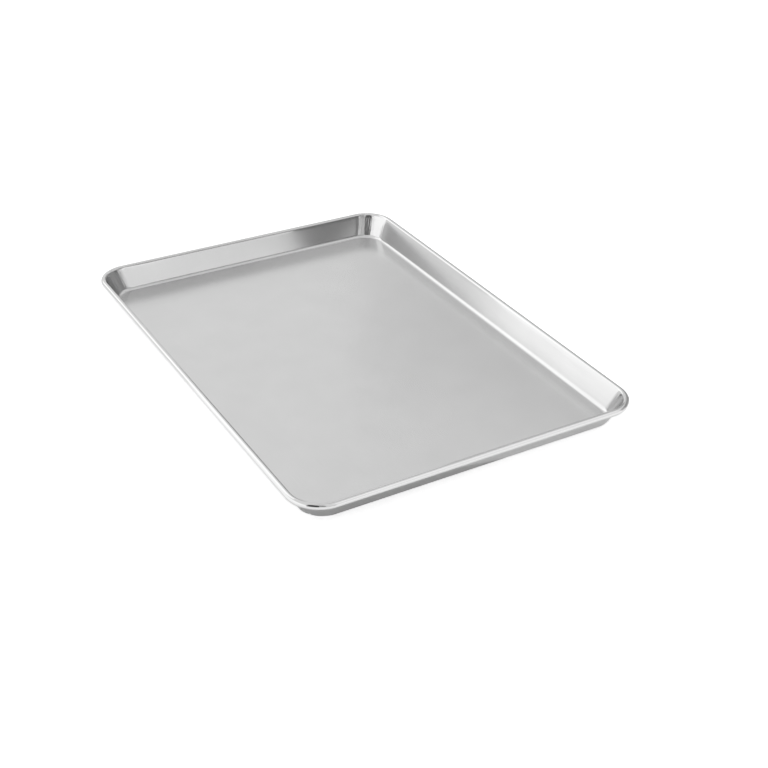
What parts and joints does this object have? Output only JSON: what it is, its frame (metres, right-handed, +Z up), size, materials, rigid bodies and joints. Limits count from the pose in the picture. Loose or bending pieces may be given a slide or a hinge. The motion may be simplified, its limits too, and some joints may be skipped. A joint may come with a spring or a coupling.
{
  "type": "jelly roll pan",
  "caption": "Shallow rectangular baking pan with a flat floor, flared walls, rounded corners and a rim rolled round a steel wire.",
  "frame": {"origin": "middle of the pan's underside, in the plane of the surface it stands on", "axes": "+X along the pan's length, +Y across its width, +Z up out of the open side"},
  "size_m": [0.45, 0.3252, 0.0229],
  "materials": {
    "pressed_aluminium": "satin floor, brighter drawn walls and rim",
    "galvanised_wire": "dull zinc"
  },
  "bodies": {
    "root": {"pan_shell": "pressed_aluminium", "rim_wire": "galvanised_wire"}
  },
  "joints": []
}
